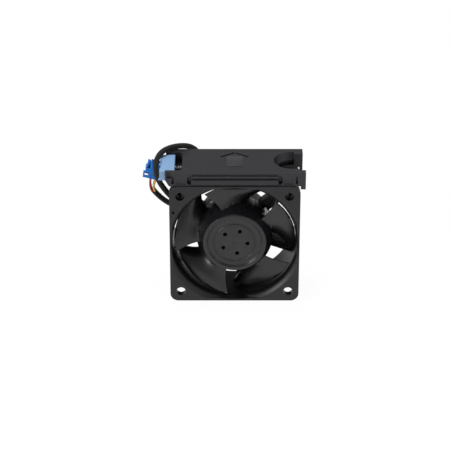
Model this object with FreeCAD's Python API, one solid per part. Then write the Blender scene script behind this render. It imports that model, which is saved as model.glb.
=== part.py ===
import FreeCAD, Part
import os
import math

# Server fan module: a 60 mm fan in a square frame, with a moulded carrier on top, a sliding
# release latch, a sleeved lead and a small plug. Millimetres. X is to the right, Y to the back
# (the way the air goes), Z up. The origin is the middle of the face that the module stands on.

V = FreeCAD.Vector

# Fan frame
frame_w = 60.0
frame_d = 25.4
flange_t = 3.3
corner_r = 3.8
hole_in = 5.0
hole_r = 2.15
duct_wall = 1.4
barrel_wall = 1.8
bell_flare = 3.2
bell_d = 5.0
bell_flat_in = 1.25
mark_r = 0.8
mark_in = 1.8
mark_up = 16.8

# Motor base and stator vanes, part of the frame's moulding. Heights are from the back face.
base_r = 17.3
base_wall = 1.5
base_h = 7.1
floor_t = 1.5
boss_r = 6.8
boss_h = 2.3
vane_n = 6
vane_first = 40.0
vane_skip = 2
vane_h = 8.9
vane_t = 1.3
vane_inset = 0.4
channel_angle = 155.0
channel_w = 5.6
channel_in = 4.0
channel_h = 6.1

# Impeller
hub_d = 2.0
hub_over = 0.2
hub_wall = 1.68
hub_nose_in = 2.9
hub_cone_d = 7.0
hub_disc_r = 9.2
hub_ring_in = 1.8
hub_hole_r = 0.95
hub_hole_at = 6.0
hub_hole_n = 5
blade_n = 5
blade_gap = 2.7
tip_gap = 0.6
tip_lead = 47.0
tip_wrap = 67.0
tip_d = 3.3
root_lead = 39.5
root_wrap = 43.0
root_d = 5.5
blade_bulge = 1.6
blade_root_t = 1.9
blade_tip_t = 1.2

# Motor
fit = 0.02
yoke_t = 0.8
yoke_d0 = 7.6
magnet_t = 1.8
magnet_d0 = 8.6
air_gap = 0.4
tube_r = 5.2
tube_bore = 4.0
tube_step = 3.4
tube_d0 = 6.0
core_d0 = 10.0
tooth_n = 6
tooth_w = 2.6
core_hub_r = 7.0
shoe_t = 1.3
shoe_span = 46.0
liner_t = 0.8
coil_t = 1.35
coil_over = 0.45
bearing_w = 4.0
inner_r = 2.2
outer_r = 3.3
ball_r = 0.5
ball_n = 7
shaft_r = 1.5
shaft_d0 = 2.8
clip_t = 0.4

# Circuit board in the motor base
board_gap = 1.2
board_t = 1.0
post_r = 1.3
post_at = 10.5
motor_wire_r = 0.44

# Carrier on top of the frame
car_over = 1.8
car_h = 6.8
front_set = 0.8
end_set = 2.5
bar_in = 10.3
bar_low = 0.7
bar_high = 6.2
scoop_in = 3.4
scoop_y = 0.95
scoop_top = 8.75
scoop_low = 7.9
scoop_skin = 3.8
lug_drop = 1.6
pocket_in = 6.0
pocket_half = 9.2
pocket_floor = 0.9
rail_out = 1.0
rail_h = 1.2
rail_gap = 0.12
leg_t = 2.0
leg_half = 3.2
leg_drop = 8.1
peg_fit = 0.05
peg_bore = 1.1
peg_set = 2.1

# Release latch
latch_out = 4.4
latch_l = 7.0
latch_half = 8.4
latch_low = 1.2
latch_h = 4.9
latch_skin = 1.4
latch_dent = 1.0
rail_set = 3.0
spring_r = 1.45
wire_r = 0.22
spring_turns = 6
pin_r = 0.95

# Lead, wires and plug
sleeve_r = 1.3
core_wire_r = 0.5
wire_apart = 0.62
plug_out = 10.6
plug_w = 5.2
plug_y = 9.0
plug_l = 5.4
plug_drop = 7.2
plug_h = 7.6
plug_tilt = 14.0
way_pitch_x = 2.4
way_pitch_y = 2.5
way_w = 1.8
crimp_z = 1.6
lever_w = 3.4
lever_t = 0.75
lever_gap = 1.2
lever_pin_r = 0.35
lever_fit = 0.05
ear_t = 0.7

front_y = -frame_d / 2
back_y = frame_d / 2
side_x = frame_w / 2
axis_z = frame_w / 2
hole_at = side_x - hole_in
duct_r = side_x - duct_wall
barrel_r = duct_r + barrel_wall
bell_r = duct_r + bell_flare
bell_flat = side_x - bell_flat_in
mark_x = mark_in - side_x
mark_z = axis_z + mark_up
tip_r = duct_r - tip_gap
hub_r = base_r + hub_over
hub_nose_r = hub_r - hub_nose_in
hub_ring_r = hub_nose_r - hub_ring_in
board_r = base_r - base_wall - board_gap
base_d = frame_d - base_h
floor_d = frame_d - floor_t
boss_d = floor_d - boss_h
vane_d0 = frame_d - vane_h
vane_d1 = frame_d - vane_inset
channel_d = frame_d - channel_h
hub_end = base_d - 0.8
blade_d1 = base_d - blade_gap
yoke_r = hub_r - hub_wall - fit
yoke_in = yoke_r - yoke_t
yoke_d1 = base_d - 1.1
magnet_d1 = yoke_d1 - 0.7
core_r = yoke_in - magnet_t - air_gap
core_d1 = magnet_d1 - 1.0
board_d = base_d + 0.3
board_back = board_d + board_t
front_bearing = tube_d0 + 0.2
rear_bearing = boss_d - bearing_w - 0.4
clip_d = rear_bearing + bearing_w
shaft_d1 = clip_d + clip_t + 1.0
car_z = frame_w
car_top = car_z + car_h
car_front = front_y + front_set
car_half = side_x + car_over
car_end = car_half - end_set
bar_half = side_x - bar_in
scoop_x = side_x - scoop_in
pocket_x = pocket_in - side_x
leg_low = car_z - leg_drop
latch_left = -side_x - latch_out
latch_right = latch_left + latch_l
slide_z = car_z + latch_low
slide_top = slide_z + latch_h
spring_z = (slide_z + slide_top) / 2 - 0.7
plug_x = -side_x - plug_out
plug_z = car_z - plug_drop
plug_top = plug_z + plug_h
plug_mid_x = plug_x + plug_w / 2
plug_mid_y = plug_y + plug_l / 2
lever_x = plug_x - lever_gap
lever_z = plug_z + 0.5 * plug_h


def block(x0, x1, y0, y1, z0, z1):
    """A box between two corners."""
    return Part.makeBox(x1 - x0, y1 - y0, z1 - z0, V(x0, y0, z0))


def at(r, angle, d):
    """The point at radius r, angle (up from +X) and depth d behind the front face."""
    a = math.radians(angle)
    return V(r * math.cos(a), front_y + d, axis_z + r * math.sin(a))


def rod(r, d0, d1, out=0.0, angle=0.0):
    """A cylinder along the fan's axis, or beside it at radius out and angle."""
    return Part.makeCylinder(r, d1 - d0, at(out, angle, d0), V(0, 1, 0))


def ring(r_out, r_in, d0, d1):
    """A tube on the fan's axis."""
    return rod(r_out, d0, d1).cut(rod(r_in, d0 - 0.5, d1 + 0.5))


def turned(points):
    """A solid turned about the fan's axis from (radius, depth) corners."""
    corners = [V(r, front_y + d, axis_z) for r, d in points]
    corners.append(corners[0])
    face = Part.Face(Part.makePolygon(corners))
    return face.revolve(V(0, 0, axis_z), V(0, 1, 0), 360)


def spun(shape, angle):
    """A copy turned about the fan's axis, anticlockwise as seen from the front."""
    copy = shape.copy()
    copy.rotate(V(0, 0, axis_z), V(0, -1, 0), angle)
    return copy


def radial(r0, r1, w, d0, d1, angle):
    """A box that lies along a radius, w wide."""
    bar = block(r0, r1, front_y + d0, front_y + d1, axis_z - w / 2, axis_z + w / 2)
    return spun(bar, angle)


def prism(points, axis, start, length):
    """A solid from corner points in the plane across axis, pushed along it."""
    if axis == "x":
        corners = [V(start, a, b) for a, b in points]
        way = V(length, 0, 0)
    elif axis == "y":
        corners = [V(a, start, b) for a, b in points]
        way = V(0, length, 0)
    else:
        corners = [V(a, b, start) for a, b in points]
        way = V(0, 0, length)
    corners.append(corners[0])
    return Part.Face(Part.makePolygon(corners)).extrude(way)


def joined(first, rest):
    """One solid from several that touch."""
    return first.fuse(rest).removeSplitter()


def section(reach, middle, lead, trail, bulge, thick, edge):
    """The closed outline of a blade in the plane at distance reach along the angle middle.

    lead and trail are (sideways, depth) of its two edges, and bulge is how far its middle
    stands in front of the straight line between them.
    """
    a = math.radians(middle)

    def place(t, d):
        x = reach * math.cos(a) - t * math.sin(a)
        z = reach * math.sin(a) + t * math.cos(a)
        return V(x, front_y + d, axis_z + z)

    run_t = trail[0] - lead[0]
    run_d = trail[1] - lead[1]
    chord = math.hypot(run_t, run_d)
    ct = run_t / chord
    cd = run_d / chord
    nt = -cd if ct < 0 else cd
    nd = -abs(ct)
    mid_t = (lead[0] + trail[0]) / 2
    mid_d = (lead[1] + trail[1]) / 2
    half = edge / 2
    lead_up = place(lead[0] + nt * half, lead[1] + nd * half)
    lead_low = place(lead[0] - nt * half, lead[1] - nd * half)
    lead_tip = place(lead[0] - ct * half, lead[1] - cd * half)
    trail_up = place(trail[0] + nt * half, trail[1] + nd * half)
    trail_low = place(trail[0] - nt * half, trail[1] - nd * half)
    up = bulge + thick / 2
    low = bulge - thick / 2
    mid_up = place(mid_t + nt * up, mid_d + nd * up)
    mid_low = place(mid_t + nt * low, mid_d + nd * low)
    edges = [
        Part.Arc(lead_up, mid_up, trail_up).toShape(),
        Part.LineSegment(trail_up, trail_low).toShape(),
        Part.Arc(trail_low, mid_low, lead_low).toShape(),
        Part.Arc(lead_low, lead_tip, lead_up).toShape(),
    ]
    return Part.Wire(edges)


def bell_mouth():
    """The inlet's rounded mouth, cut flat where the frame's sides come near."""
    outer = V(bell_r, front_y - 0.01, axis_z)
    inner = V(duct_r - 0.01, front_y + bell_d, axis_z)
    middle = V(duct_r + 0.9, front_y + 1.75, axis_z)
    axis_back = V(0, front_y + bell_d, axis_z)
    axis_front = V(0, front_y - 0.01, axis_z)
    edges = [
        Part.Arc(outer, middle, inner).toShape(),
        Part.LineSegment(inner, axis_back).toShape(),
        Part.LineSegment(axis_back, axis_front).toShape(),
        Part.LineSegment(axis_front, outer).toShape(),
    ]
    mouth = Part.Face(Part.Wire(edges)).revolve(V(0, 0, axis_z), V(0, 1, 0), 360)
    low = axis_z - bell_flat
    high = axis_z + bell_flat
    square = block(-bell_flat, bell_flat, front_y - 1, back_y, low, high)
    return mouth.common(square)


def stator_vane(angle):
    """A curved vane that takes the swirl out of the air behind the blades."""
    wires = []
    for reach in (base_r - 2.0, duct_r + 0.7):
        lead = (-2.7, vane_d0)
        trail = (0.9, vane_d1)
        wires.append(section(reach, angle, lead, trail, 0.9, vane_t, 0.7))
    return Part.makeLoft(wires, True, True)


def frame_outside():
    """The two square flanges with the barrel between them."""
    square = block(-frame_w / 2, frame_w / 2, front_y, back_y, 0, frame_w)
    corners = [e for e in square.Edges if abs(e.tangentAt(e.FirstParameter).y) > 0.9]
    square = square.makeFillet(corner_r, corners)
    waist = block(-frame_w, frame_w, front_y + flange_t, back_y - flange_t, -5, frame_w + 5)
    return square.cut(waist.cut(rod(barrel_r, 0, frame_d)))


def motor_base():
    """The cup in the middle of the back that carries the motor."""
    room = base_r - base_wall
    cup = rod(base_r, base_d, frame_d).cut(rod(room, base_d - 1, floor_d))
    posts = [rod(post_r, board_back, floor_d, post_at, a) for a in (90, 210, 330)]
    cup = joined(cup, [rod(boss_r, boss_d, floor_d)] + posts)
    cup = cup.cut(rod(tube_r, boss_d - 1, floor_d))
    cup = cup.cut(ring(base_r - 2.6, base_r - 3.4, frame_d - 0.3, frame_d))
    return cup.cut(radial(room - 1, base_r + 1, channel_in, channel_d, floor_d, channel_angle))


def wire_channel():
    """The covered trough that leads the wires out between two vanes."""
    trough = radial(base_r - 1, duct_r + 1, channel_w, channel_d - 1.2, frame_d - 0.2, channel_angle)
    return trough.cut(radial(base_r - 2, duct_r + 2, channel_in, channel_d, floor_d, channel_angle))


def stator_vanes():
    """The vanes and the wire channel between the motor base and the duct."""
    found = []
    between = ring(duct_r, base_r, 0, frame_d)
    over_hub = rod(hub_r + 0.6, 0, base_d)
    for k in range(vane_n):
        if k == vane_skip:
            piece = wire_channel()
        else:
            piece = stator_vane(vane_first + 360.0 / vane_n * k)
        found.append(piece.common(between).cut(over_hub))
    return Part.makeCompound(found)


def fan_frame():
    """The frame's flanges and barrel, with the rounded inlet and the screw holes."""
    body = frame_outside()
    body = body.cut(rod(duct_r, -1, frame_d + 1))
    body = body.cut(bell_mouth())
    body = body.cut(radial(duct_r - 2, barrel_r + 1.4, channel_in, channel_d, channel_d + 2.0, channel_angle))
    for sx in (-1, 1):
        for z in (axis_z - hole_at, axis_z + hole_at):
            hole = Part.makeCylinder(hole_r, frame_d + 2, V(sx * hole_at, front_y - 1, z), V(0, 1, 0))
            body = body.cut(hole)
    mark = Part.makeCylinder(mark_r, 1.5, V(mark_x, front_y - 0.5, mark_z), V(0, 1, 0))
    return body.cut(mark)


def hub_face():
    """The (radius, depth) corners of the hub's outside, from its middle to its rear edge."""
    return [
        (0, hub_d),
        (hub_disc_r, hub_d),
        (hub_disc_r + 0.15, hub_d + 0.5),
        (hub_disc_r + 0.7, hub_d + 0.5),
        (hub_disc_r + 0.85, hub_d + 0.25),
        (hub_ring_r, hub_d + 0.25),
        (hub_ring_r + 0.15, hub_d),
        (hub_nose_r - 0.5, hub_d),
        (hub_nose_r, hub_d + 0.2),
        (hub_nose_r + 0.4, hub_d + 0.75),
        (hub_r, hub_cone_d),
        (hub_r, hub_end),
    ]


def impeller_hub():
    """The impeller's cup, with a raised disc and ring on its face."""
    yoke_seat = yoke_r + fit
    hub_boss = shaft_r + 2.3
    inside = [
        (yoke_seat, hub_end),
        (yoke_seat, yoke_d0),
        (13.2, yoke_d0),
        (13.2, hub_d + 3.4),
        (12.2, hub_d + 1.7),
        (hub_boss, hub_d + 1.7),
        (hub_boss, tube_d0 - 1.0),
        (0, tube_d0 - 1.0),
    ]
    cup = turned(hub_face() + inside)
    cup = cup.cut(rod(shaft_r + fit / 2, shaft_d0, tube_d0))
    for k in range(hub_hole_n):
        cup = cup.cut(rod(hub_hole_r, 1, hub_d + 1.75, hub_hole_at, -6.5 + 360.0 / hub_hole_n * k))
    return cup.cut(rod(0.8, 1, hub_d + 0.15))


def blade(number):
    """One swept, twisted and cambered blade, trimmed to the tip circle."""
    wires = []
    past_tip = (tip_r + 0.7) / math.cos(math.radians(tip_wrap / 2))
    for corner_r in (hub_r - 1.6, hub_r + 2.0, hub_r + 6.0, tip_r, past_tip):
        share = max(0.0, min(1.0, (corner_r - hub_r) / (tip_r - hub_r)))
        wrap = root_wrap + (tip_wrap - root_wrap) * share
        first = root_lead + (tip_lead - root_lead) * share
        middle = first - wrap / 2 + 360.0 / blade_n * number
        half = math.radians(wrap / 2)
        side = corner_r * math.sin(half)
        lead = (side, root_d + (tip_d - root_d) * share)
        trail = (-side, blade_d1 - 0.8 * share)
        thick = blade_root_t + (blade_tip_t - blade_root_t) * share
        wires.append(section(corner_r * math.cos(half), middle, lead, trail, blade_bulge, thick, 0.7))
    solid = Part.makeLoft(wires, True, False)
    return solid.common(rod(tip_r, 0, frame_d))


def impeller_blades():
    """The blades, trimmed to the hub that they are moulded with."""
    core = turned(hub_face() + [(0, hub_end)])
    return Part.makeCompound([blade(k).cut(core) for k in range(blade_n)])


def yoke():
    """The pressed steel cup that holds the magnet."""
    points = [
        (6.6, yoke_d0),
        (yoke_r, yoke_d0),
        (yoke_r, yoke_d1),
        (yoke_in, yoke_d1),
        (yoke_in, yoke_d0 + yoke_t),
        (6.6, yoke_d0 + yoke_t),
    ]
    return turned(points)


def magnet():
    """The ring magnet inside the yoke."""
    return ring(yoke_in - fit, yoke_in - magnet_t, magnet_d0, magnet_d1)


def shaft():
    """The steel shaft, with a groove for its clip."""
    rod_ = rod(shaft_r, shaft_d0, shaft_d1)
    return rod_.cut(ring(shaft_r + 1, shaft_r - 0.3, clip_d, clip_d + clip_t))


def shaft_clip():
    """The open clip that keeps the shaft from coming out forwards."""
    clip = ring(2.4, shaft_r - 0.3 + fit, clip_d, clip_d + clip_t)
    return clip.cut(radial(0, 4, 1.6, clip_d - 1, clip_d + 1, 40))


def preload_ring():
    """The spring washer between the hub's boss and the front bearing."""
    low = ring(2.15, shaft_r + fit, tube_d0 - 1.0, tube_d0 - 0.6)
    high = ring(2.15, shaft_r + fit, front_bearing - 0.4, front_bearing)
    waist = ring(1.9, shaft_r + fit, tube_d0 - 0.7, front_bearing - 0.3)
    return joined(low, [waist, high])


def bearing_races(r_out, r_in):
    """The same race of both bearings."""
    races = [ring(r_out, r_in, d, d + bearing_w) for d in (front_bearing, rear_bearing)]
    return Part.makeCompound(races)


def bearing_balls():
    """The balls of both bearings."""
    middle = (inner_r + outer_r) / 2
    balls = []
    for d in (front_bearing, rear_bearing):
        for k in range(ball_n):
            centre = at(middle, 360.0 / ball_n * k, d + bearing_w / 2)
            balls.append(Part.makeSphere(ball_r, centre))
    return Part.makeCompound(balls)


def ball_cages():
    """The thin crown behind each row of balls."""
    cages = []
    for d in (front_bearing, rear_bearing):
        start = d + bearing_w / 2 + ball_r
        cages.append(ring(outer_r - 0.2, inner_r + 0.2, start, start + 0.5))
    return Part.makeCompound(cages)


def bearing_tube():
    """The brass tube that holds both bearings and the stator."""
    tube = ring(tube_r - fit, tube_step, tube_d0, floor_d)
    tube = tube.cut(rod(tube_bore + fit, tube_d0 - 1, front_bearing + bearing_w))
    return tube.cut(rod(tube_bore + fit, rear_bearing, floor_d + 1))


def stator_core():
    """The laminated core with its teeth and pole shoes."""
    core = ring(core_hub_r, tube_r + fit, core_d0, core_d1)
    teeth = []
    for k in range(tooth_n):
        angle = 360.0 / tooth_n * k
        teeth.append(radial(core_hub_r - 0.5, core_r - shoe_t / 2, tooth_w, core_d0, core_d1, angle))
        teeth.append(pole_shoe(angle))
    return joined(core, teeth)


def pole_shoe(angle):
    """The curved end of one tooth."""
    shoe = ring(core_r, core_r - shoe_t, core_d0, core_d1)
    half = math.tan(math.radians(shoe_span / 2)) * 20
    wedge = prism([(0, axis_z), (20, axis_z - half), (20, axis_z + half)], "y", front_y, frame_d)
    return shoe.common(spun(wedge, angle))


def stator_liner(d0, d1):
    """The plastic end piece that keeps the coils off the core."""
    liner = ring(core_hub_r + 0.4, tube_r + fit, d0, d1)
    arms = []
    for k in range(tooth_n):
        arms.append(radial(core_hub_r, core_r - 0.5, tooth_w, d0, d1, 360.0 / tooth_n * k))
    return joined(liner, arms)


def coils():
    """One winding round each tooth and its two liners."""
    d0 = core_d0 - liner_t
    d1 = core_d1 + liner_t
    found = []
    for k in range(tooth_n):
        angle = 360.0 / tooth_n * k
        wide = tooth_w + 2 * coil_t
        coil = radial(core_hub_r + 0.8, core_r - shoe_t - 0.5, wide, d0 - coil_over, d1 + coil_over, angle)
        coil = coil.cut(radial(core_hub_r - 2.0, core_r + 0.2, tooth_w + 0.1, d0 - 0.02, d1 + 0.02, angle))
        found.append(coil)
    return Part.makeCompound(found)


def circuit_board():
    """The round board behind the coils."""
    board = ring(board_r, tube_r + 0.4, board_d, board_back)
    notch = radial(board_r - 1.4, board_r + 1, channel_in, board_d - 1, board_back + 1, channel_angle)
    return board.cut(notch)


def board_parts():
    """Small parts soldered to the back of the board."""
    found = []
    for out, angle, w, l, h in (
        (10.0, 40, 4.4, 5.0, 1.5),
        (11.6, 75, 1.6, 0.9, 0.6),
        (8.6, 120, 1.6, 0.9, 0.6),
        (11.6, 180, 2.2, 2.8, 1.1),
        (8.4, 245, 1.6, 0.9, 0.6),
        (11.8, 262, 1.6, 0.9, 0.6),
        (9.4, 300, 3.0, 2.6, 1.2),
    ):
        found.append(radial(out - l / 2, out + l / 2, w, board_back, board_back + h, angle))
    found.append(rod(1.9, board_back, board_back + 3.2, 10.2, 0))
    return Part.makeCompound(found)


def hall_sensor():
    """The sensor on the front of the board, under the magnet's edge."""
    return radial(core_r - 1.0, core_r + 0.6, 3.0, board_d - 0.9, board_d, 270)


def scoop():
    """The finger scoop: a half cone through the top skin, wider below, open to the right."""
    skin_z = car_top - scoop_skin
    slope = (scoop_top - scoop_low) / scoop_skin
    wide = scoop_top + 0.6
    cone = Part.makeCone(scoop_low, scoop_top + slope, scoop_skin + 1, V(scoop_x, scoop_y, skin_z), V(0, 0, 1))
    void = Part.makeCylinder(wide, skin_z - car_z + 1, V(scoop_x, scoop_y, car_z - 1))
    way_out = [
        (scoop_y - scoop_low, skin_z),
        (scoop_y + scoop_low, skin_z),
        (scoop_y + scoop_top + slope, car_top + 1),
        (scoop_y - scoop_top - slope, car_top + 1),
    ]
    below = block(scoop_x, scoop_x + 8, scoop_y - wide, scoop_y + wide, car_z - 1, skin_z)
    return cone.fuse([void, prism(way_out, "x", scoop_x, 8), below])


def grip_bar():
    """The ribbed bar along the carrier's front: two ridges with a groove between them."""
    y0 = front_y
    y1 = car_front + 0.5
    low = car_z + bar_low
    high = car_z + bar_high
    groove_z = high - 1.9
    outline = [
        (y1, low),
        (y0 + 0.35, low),
        (y0, low + 0.45),
        (y0, groove_z - 1.3),
        (y0 + 0.5, groove_z - 0.35),
        (y0 + 0.5, groove_z + 0.25),
        (y0, groove_z + 0.6),
        (y0, high - 0.55),
        (y0 + 0.55, high),
        (y1, high),
    ]
    return prism(outline, "x", -bar_half, 2 * bar_half)


def leg(side, face):
    """A leg behind one flange, with a split peg into the flange's hole."""
    inner = front_y + flange_t + 0.1
    outer = front_y + peg_set
    x = side * hole_at
    plate = block(x - leg_half, x + leg_half, inner, inner + leg_t, leg_low, car_z + 0.5)
    z = axis_z + hole_at
    peg = Part.makeCylinder(hole_r - peg_fit, inner + 0.5 - outer, V(x, outer, z), V(0, 1, 0))
    bore = Part.makeCylinder(peg_bore, inner + leg_t + 1 - outer, V(x, outer - 0.5, z), V(0, 1, 0))
    slit = block(x - 0.3, x + 0.3, outer - 0.5, inner, z - 3, z)
    made = joined(plate, [peg]).cut(bore).cut(slit)
    if face > 0:
        made = made.mirror(V(0, 0, 0), V(0, 1, 0))
    return made


def pocket():
    """The room for the latch, with its far corners cut across and a thin floor left below."""
    far = pocket_x
    near = -car_half - 2
    points = [
        (near, -pocket_half),
        (far - 1.2, -pocket_half),
        (far, 1.6 - pocket_half),
        (far, pocket_half - 1.6),
        (far - 1.2, pocket_half),
        (near, pocket_half),
    ]
    return prism(points, "z", car_z + pocket_floor, car_h)


def rail_groove(side):
    """The groove in one arm that a rail of the latch runs in."""
    y0 = side * (pocket_half - 0.5)
    y1 = side * (latch_half + rail_out + rail_gap)
    low = slide_z + 0.8 - rail_gap
    high = low + rail_h + 2 * rail_gap
    return block(-car_half - 1, pocket_x - 0.2, min(y0, y1), max(y0, y1), low, high)


def face_details(side):
    """The round-ended slot, the panel and the slit beside one end of the grip bar."""
    slot_x = side * (bar_half + 1.1)
    low = car_z + 2.0
    high = low + 2.0
    y0 = front_y - 1
    slot = block(slot_x - 1.0, slot_x + 1.0, y0, car_front + 2.0, low, high)
    for z in (low, high):
        slot = slot.fuse(Part.makeCylinder(1.0, car_front + 2.0 - y0, V(slot_x, y0, z), V(0, 1, 0)))
    panel_x = side * (bar_half + 4.9)
    panel = block(panel_x - 2.4, panel_x + 2.4, y0, car_front + 0.45, car_z + 0.9, car_z + 4.0)
    slit_x = side * (bar_half + 8.5)
    slit = block(slit_x - 0.55, slit_x + 0.55, y0, car_front + 1.6, car_z + 1.1, car_z + 5.0)
    return [slot, panel, slit]


def carrier():
    """The moulded carrier: grip bar, finger scoop, latch pocket, end lugs, legs and pegs."""
    body = block(-car_half, car_end, car_front, back_y, car_z, car_top)
    undercut = [
        (-car_half - 1, car_z - 1),
        (-side_x, car_z - 1),
        (-side_x, car_z),
        (-car_half - 1, car_z + 5.0),
    ]
    body = body.cut(prism(undercut, "y", front_y, frame_d))
    body = body.cut(pocket()).cut(scoop())
    for side in (-1, 1):
        body = body.cut(rail_groove(side))
        window_y = 11.3 * side
        body = body.cut(block(0.8 - car_half, 3.0 - car_half, window_y - 0.6, window_y + 0.6, car_top - 3.0, car_top + 1))
    lug_z = car_z - lug_drop
    lugs = [
        block(side_x + 0.1, car_half + 0.5, car_front, car_front + 2.9, lug_z, car_top),
        block(car_end - 0.5, side_x + 0.6, car_front, car_front + 2.9, car_z, car_top),
        block(side_x + 0.1, car_half - 0.3, back_y - 5.2, back_y, lug_z, car_top),
        block(car_half - 4.3, side_x + 0.6, back_y - 5.2, back_y, car_z, car_top),
    ]
    spring_pin = Part.makeCylinder(pin_r, 4.5, V(pocket_x - 4.0, 0, spring_z), V(1, 0, 0))
    legs = [leg(s, f) for s in (-1, 1) for f in (-1, 1)]
    body = joined(body, [grip_bar(), spring_pin] + lugs + legs)
    for side in (-1, 1):
        for cutter in face_details(side):
            body = body.cut(cutter)
    return marked(body)


def marked(body):
    """Airflow arrow head and panel on the carrier's top."""
    panel = block(-3.5, 3.5, -5.0, 4.9, car_top - 0.1, car_top + 0.2)
    head = [(0, 9.3), (6.6, 4.9), (6.1, 4.1), (0, 8.2), (-6.1, 4.1), (-6.6, 4.9)]
    body = joined(body, [panel])
    return body.cut(prism(head, "z", car_top - 0.45, 1))


def release_latch():
    """The blue slide with its thumb pad, skirt, guide rails and catch teeth."""
    outer = block(latch_left, latch_right, -latch_half, latch_half, slide_z, slide_top)
    top_edges = []
    for e in outer.Edges:
        if abs(e.CenterOfMass.z - slide_top) < 0.01:
            top_edges.append(e)
    outer = outer.makeFillet(0.5, top_edges)
    inside = latch_left + 2.9
    wall = latch_half - 1.5
    room = block(inside, latch_right + 1, -wall, wall, slide_z - 1, slide_top - latch_skin)
    body = outer.cut(room)
    dent_r = 22.0
    dent = Part.makeCylinder(dent_r, 10, V(latch_left - dent_r + latch_dent, 0, slide_z - 1), V(0, 0, 1))
    body = body.cut(dent)
    rails = []
    for side in (-1, 1):
        y0 = min(side * (latch_half - 0.5), side * (latch_half + rail_out))
        y1 = max(side * (latch_half - 0.5), side * (latch_half + rail_out))
        low = slide_z + 0.8
        rails.append(block(latch_left + rail_set, latch_right, y0, y1, low, low + rail_h))
        tooth = [(latch_left + 1.0, slide_z), (latch_left - 0.6, slide_z), (latch_left + 1.0, slide_z + 1.6)]
        tooth_y = side * (latch_half - 1.0) - 0.8
        rails.append(prism(tooth, "y", tooth_y, 1.6))
    return joined(body, rails)


def latch_spring():
    """The coil spring that pushes the latch outwards."""
    start = latch_left + 2.9
    end = pocket_x
    length = end - start - 2 * wire_r
    coil = Part.makeHelix(length / spring_turns, length, spring_r)
    profile = Part.Wire(Part.Circle(V(spring_r, 0, 0), V(0, 1, 0), wire_r).toShape())
    body = Part.Wire(coil.Edges).makePipeShell([profile], True, True)
    body.rotate(V(0, 0, 0), V(0, 1, 0), 90)
    body.translate(V(start + wire_r, 0, spring_z))
    return body


def tube(points, r):
    """A round tube along straight runs joined by tangent arcs."""
    way = [V(*p) for p in points]
    edges = []
    last = way[0]
    smallest = 1e9
    for k in range(1, len(way) - 1):
        before = way[k - 1] - way[k]
        after = way[k + 1] - way[k]
        run = min(before.Length, after.Length)
        before.normalize()
        after.normalize()
        turn = math.pi - before.getAngle(after)
        cut = 0.45 * run
        smallest = min(smallest, cut / math.tan(turn / 2))
        first = way[k] + before * cut
        second = way[k] + after * cut
        bend_r = cut / math.tan(turn / 2)
        inward = before + after
        inward.normalize()
        centre = way[k] + inward * math.hypot(cut, bend_r)
        middle = centre - inward * bend_r
        edges.append(Part.LineSegment(last, first).toShape())
        edges.append(Part.Arc(first, middle, second).toShape())
        last = second
    edges.append(Part.LineSegment(last, way[-1]).toShape())
    line = Part.Wire(edges)
    start = way[1] - way[0]
    profile = Part.Wire(Part.Circle(way[0], start, r).toShape())
    body = line.makePipeShell([profile], True, False)
    expected = math.pi * r * r * line.Length
    print("cord length %.1f tightest bend %.2f volume %.3f of %.3f" % (line.Length, smallest, body.Volume, expected))
    return body


sleeve_way = (
    (-27.0, 4.0, 47.5),
    (-27.0, -3.6, 48.0),
    (-31.6, -4.6, 53.5),
    (-35.8, -2.6, 59.5),
    (-36.6, 2.2, 66.5),
    (-31.4, 9.8, 69.7),
    (-23.5, 15.6, 68.4),
    (-17.4, 16.8, 61.6),
    (-18.8, 15.6, 53.0),
    (-16.2, 15.4, 42.6),
    (-20.2, 15.6, 33.8),
    (-32.2, 15.0, 38.8),
    (-36.4, 11.0, 46.6),
)


def gland():
    """The rubber piece in the corner that turns the wires into the sleeve."""
    piece = block(-29.5, -24.2, 4.0, back_y - flange_t, 40.2, 50.2)
    return piece.cut(rod(barrel_r, 0, frame_d))


def tilted(shape):
    """A copy leaned over with the plug, about the middle of the plug's lower face."""
    copy = shape.copy()
    copy.rotate(V(plug_mid_x, plug_mid_y, plug_z), V(0, 1, 0), plug_tilt)
    return copy


def lean(x, y, z):
    """A point of the upright plug, moved as tilted moves it."""
    a = math.radians(plug_tilt)
    dx = x - plug_mid_x
    dz = z - plug_z
    return (plug_mid_x + dx * math.cos(a) + dz * math.sin(a), y, plug_z + dz * math.cos(a) - dx * math.sin(a))


def ways():
    """The four places of the plug's wires, as (x, y)."""
    signs = [(a, b) for a in (-1, 1) for b in (-1, 1)]
    return [(plug_mid_x + a * way_pitch_x / 2, plug_mid_y + b * way_pitch_y / 2) for a, b in signs]


def inner_wires():
    """The four wires from the board to the gland, along the channel."""
    found = []
    start = board_r - 1.4
    length = barrel_r + 0.3 - start
    for k in range(4):
        shift = (k - 1.5) * (2 * motor_wire_r + 0.1)
        foot = V(start, front_y + channel_d + 0.8, axis_z + shift)
        found.append(spun(Part.makeCylinder(motor_wire_r, length, foot, V(1, 0, 0)), channel_angle))
    return Part.makeCompound(found)


def plug_wire(number):
    """One of the four wires from the sleeve's end into the plug."""
    end = V(*sleeve_way[-1])
    along = end - V(*sleeve_way[-2])
    along.normalize()
    across = V(1, 0, 0) - along * along.x
    across.normalize()
    beside = along.cross(across)
    x, y = ways()[number]
    right = wire_apart if x > plug_mid_x else -wire_apart
    back = wire_apart if y > plug_mid_y else -wire_apart
    start = end + across * right + beside * back
    points = (
        tuple(start),
        tuple(start + along * 2.0),
        lean(x, y, plug_z - 1.6),
        lean(x, y, plug_z + crimp_z),
    )
    return tube(points, core_wire_r)


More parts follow.
